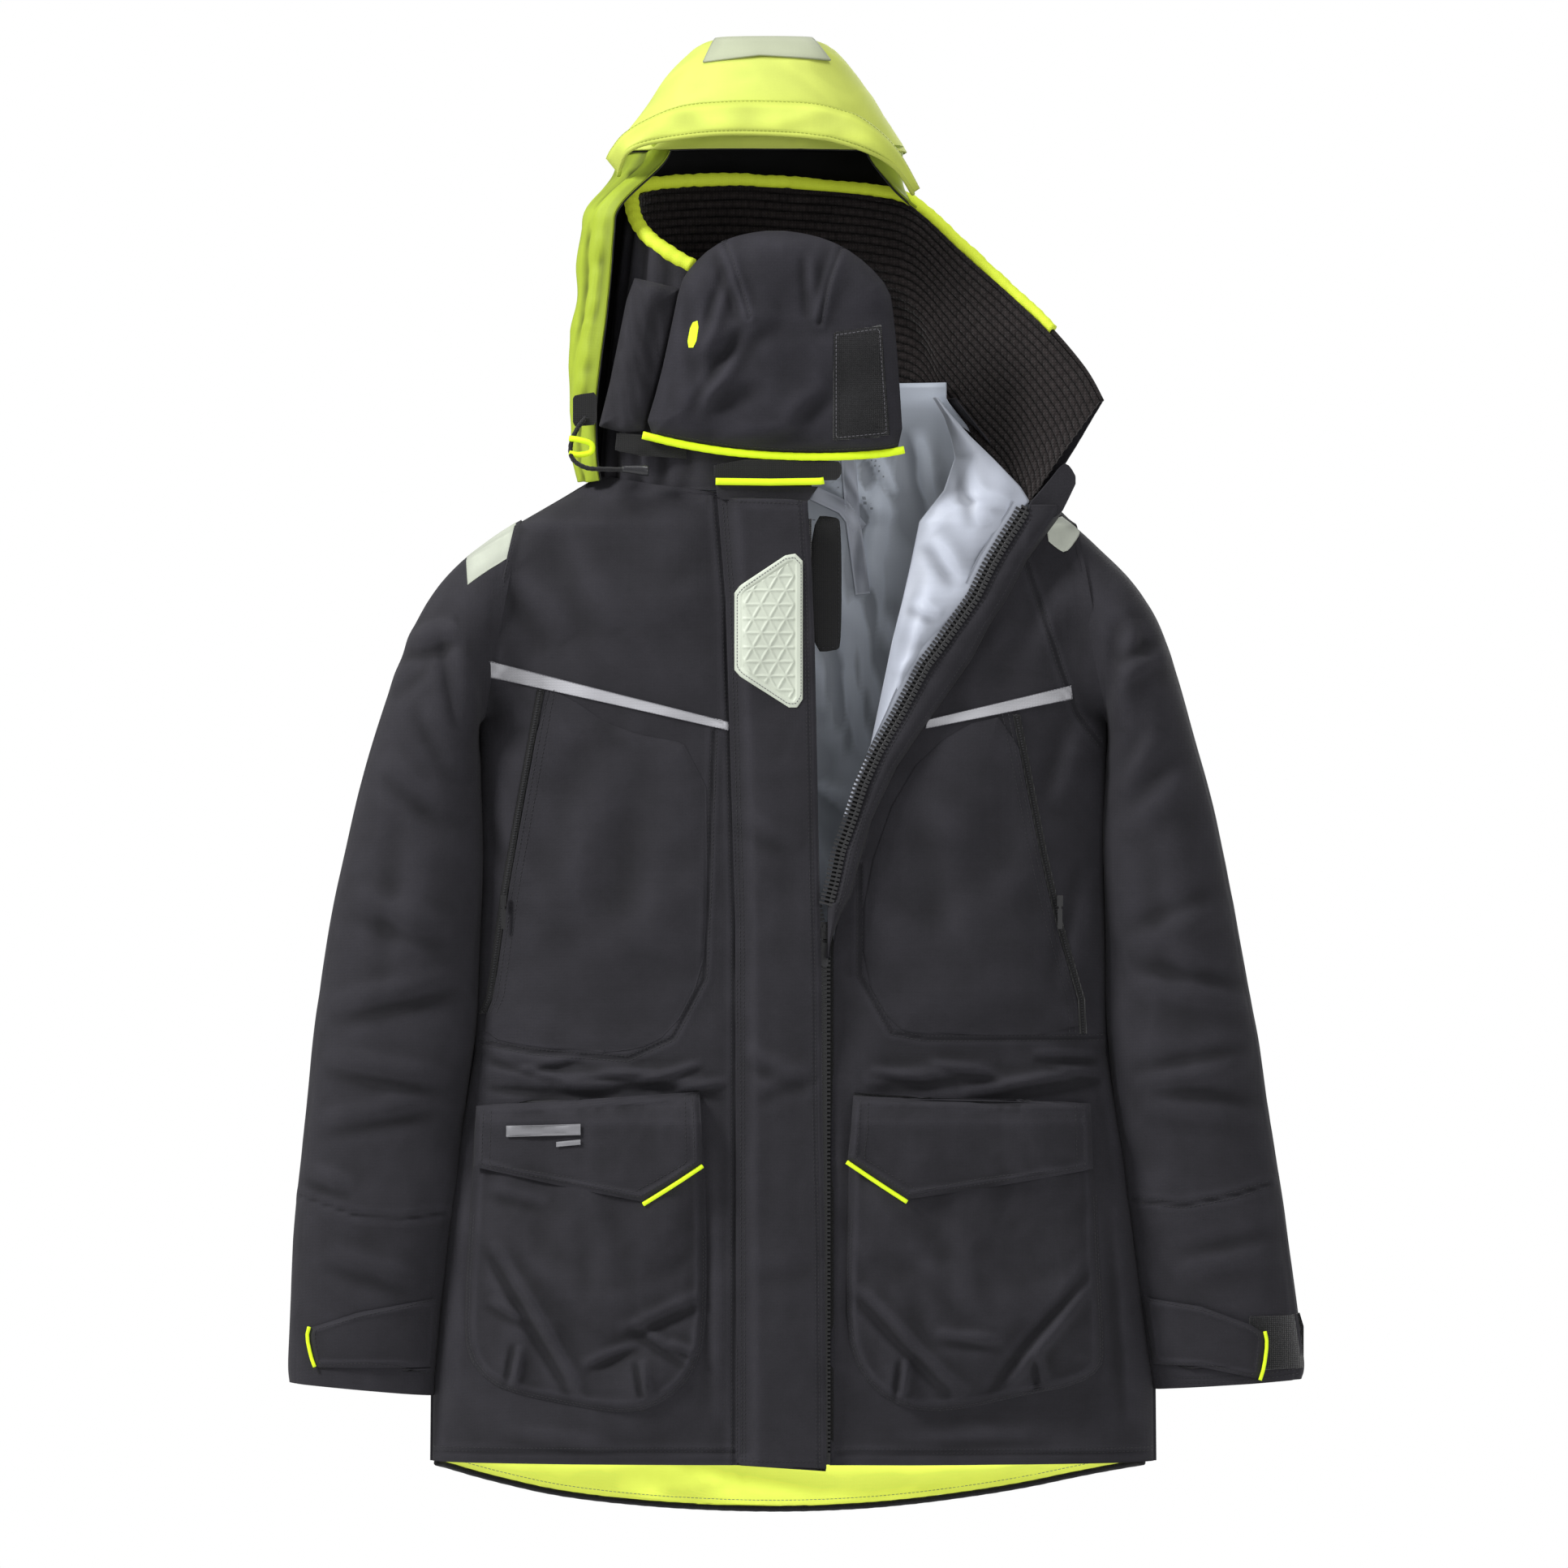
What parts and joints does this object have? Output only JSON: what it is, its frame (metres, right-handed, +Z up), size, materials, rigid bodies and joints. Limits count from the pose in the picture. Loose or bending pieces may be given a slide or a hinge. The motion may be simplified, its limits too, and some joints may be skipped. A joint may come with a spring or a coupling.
{
  "type": "foul weather jacket",
  "caption": "Long hooded sailing jacket with storm flap, fleece-lined collar, face guard, cargo and hand warmer pockets, shaped cuffs and a dropped tail.",
  "frame": {"origin": "centre of the hang loop's eye at the back of the neck", "axes": "+Z up the jacket, +X towards the wearer's left sleeve, -Y the way the front faces"},
  "size_m": [0.8367, 0.2158, 1.2206],
  "materials": {
    "shell_grey": "laminated plain weave shell, matt",
    "hood_yellow": "high-visibility woven shell",
    "peak_yellow": "high-visibility woven shell, stiffened",
    "bright_piping": "bright folded tape",
    "lining_grey": "smooth woven lining",
    "fleece": "grid fleece",
    "binding_black": "grosgrain tape",
    "cord_black": "braided cord",
    "reflective": "glass bead reflective film",
    "badge_soft": "pale moulded soft badge",
    "patch_pale": "pale reflective print",
    "hook_and_loop": "hook and loop",
    "zip_tape": "woven zip tape",
    "zip_plastic": "moulded plastic",
    "inner_cuff": "inner cuff with elastic edge"
  },
  "bodies": {
    "jacket": {"back_panel": "shell_grey", "back_lining": "lining_grey", "front_panel_right": "shell_grey", "front_panel_left": "shell_grey", "tail_facing": "hood_yellow", "hem_binding": "binding_black", "hem_drawcord": "cord_black", "reflective_stripe_right": "reflective", "reflective_stripe_left": "reflective", "handwarmer_pocket_right": "shell_grey", "handwarmer_pocket_left": "shell_grey", "cargo_pocket_right": "shell_grey", "cargo_pocket_left": "shell_grey", "waist_drawcord": "cord_black", "zip_tape_right": "zip_tape", "zip_tape_left": "zip_tape", "zip_teeth_right": "zip_plastic", "zip_teeth_left": "zip_plastic", "front_facing_left": "lining_grey", "placket_left": "shell_grey", "zip_retainer": "zip_plastic", "inner_storm_flap": "shell_grey", "chest_fastening_tab": "binding_black", "throat_tab": "binding_black", "collar_shell": "shell_grey", "collar_fleece": "fleece", "collar_piping": "bright_piping", "hood_cord": "cord_black", "hang_loop": "binding_black", "neck_label": "patch_pale"},
    "storm_flap": {"storm_flap": "shell_grey", "storm_flap_badge": "badge_soft", "storm_flap_hook_strips": "hook_and_loop"},
    "face_guard": {"face_guard": "shell_grey", "face_guard_hook_patch": "hook_and_loop", "face_guard_piping": "bright_piping"},
    "hood": {"hood_side_wall": "hood_yellow", "hood_crown": "hood_yellow", "hood_peak": "peak_yellow", "hood_badge": "patch_pale", "hood_cord_tab": "binding_black"},
    "zip_slider": {"zip_slider": "zip_plastic"},
    "zip_puller": {"zip_puller": "zip_plastic"},
    "pocket_flap_right": {"pocket_flap_right": "shell_grey", "pocket_flap_piping_right": "bright_piping"},
    "pocket_flap_left": {"pocket_flap_left": "shell_grey", "pocket_flap_piping_left": "bright_piping"},
    "sleeve_right": {"sleeve_right": "shell_grey", "inner_cuff_right": "inner_cuff", "cuff_loop_patch_right": "hook_and_loop", "shoulder_patch_right": "patch_pale"},
    "sleeve_left": {"sleeve_left": "shell_grey", "inner_cuff_left": "inner_cuff", "cuff_loop_patch_left": "hook_and_loop", "shoulder_patch_left": "patch_pale"},
    "cuff_tab_right": {"cuff_tab_right": "shell_grey"},
    "cuff_tab_left": {"cuff_tab_left": "shell_grey"},
    "cord_lock": {"cord_lock": "zip_plastic"},
    "handwarmer_runner_right": {"handwarmer_zip_runner_right": "zip_plastic"},
    "handwarmer_runner_left": {"handwarmer_zip_runner_left": "zip_plastic"}
  },
  "joints": [
    {"name": "storm_flap_hinge", "type": "hinge", "parent": "jacket", "child": "storm_flap", "pos_m": [-0.04867, -0.13493, -0.46667], "axis": [0, -0.02, -0.9998], "range_deg": [0, 105]},
    {"name": "face_guard_hinge", "type": "hinge", "parent": "jacket", "child": "face_guard", "pos_m": [-0.12403, -0.134, -0.02333], "axis": [-0.2747, 0, -0.9615], "range_deg": [0, 110]},
    {"name": "hood_fold", "type": "hinge", "parent": "jacket", "child": "hood", "pos_m": [0, 0.045, -0.04667], "axis": [-1, 0, 0], "range_deg": [0, 95]},
    {"name": "zip_slide", "type": "slide", "parent": "jacket", "child": "zip_slider", "axis": [0, 0.02, 0.9998], "range_m": [-0.41, 0]},
    {"name": "zip_pull_swing", "type": "hinge", "parent": "zip_slider", "child": "zip_puller", "pos_m": [0.02533, -0.12921, -0.42867], "axis": [-1, 0, 0], "range_deg": [0, 150]},
    {"name": "pocket_flap_right_lift", "type": "hinge", "parent": "jacket", "child": "pocket_flap_right", "pos_m": [-0.20169, -0.12483, -0.566], "axis": [-0.9573, 0.2891, 0], "range_deg": [0, 95]},
    {"name": "pocket_flap_left_lift", "type": "hinge", "parent": "jacket", "child": "pocket_flap_left", "pos_m": [0.17428, -0.13057, -0.566], "axis": [-0.9761, -0.2172, 0], "range_deg": [0, 95]},
    {"name": "sleeve_right_raise", "type": "hinge", "parent": "jacket", "child": "sleeve_right", "pos_m": [-0.23333, -0.05, -0.09667], "axis": [0, 1, 0], "range_deg": [0, 35]},
    {"name": "sleeve_left_raise", "type": "hinge", "parent": "jacket", "child": "sleeve_left", "pos_m": [0.24133, -0.05, -0.108], "axis": [0, -1, 0], "range_deg": [0, 35]},
    {"name": "cuff_tab_right_open", "type": "hinge", "parent": "sleeve_right", "child": "cuff_tab_right", "pos_m": [-0.30217, -0.097, -0.76667], "axis": [0, 0, 1], "range_deg": [0, 110]},
    {"name": "cuff_tab_left_open", "type": "hinge", "parent": "sleeve_left", "child": "cuff_tab_left", "pos_m": [0.30083, -0.097, -0.76333], "axis": [0, 0, -1], "range_deg": [0, 110]},
    {"name": "cord_lock_slide", "type": "slide", "parent": "jacket", "child": "cord_lock", "axis": [-1, 0, 0], "range_m": [0, 0.018]},
    {"name": "handwarmer_zip_right", "type": "slide", "parent": "jacket", "child": "handwarmer_runner_right", "axis": [-0.0951, 0.0495, -0.9942], "range_m": [0, 0.07]},
    {"name": "handwarmer_zip_left", "type": "slide", "parent": "jacket", "child": "handwarmer_runner_left", "axis": [0.1871, 0.0921, -0.978], "range_m": [0, 0.07]}
  ]
}
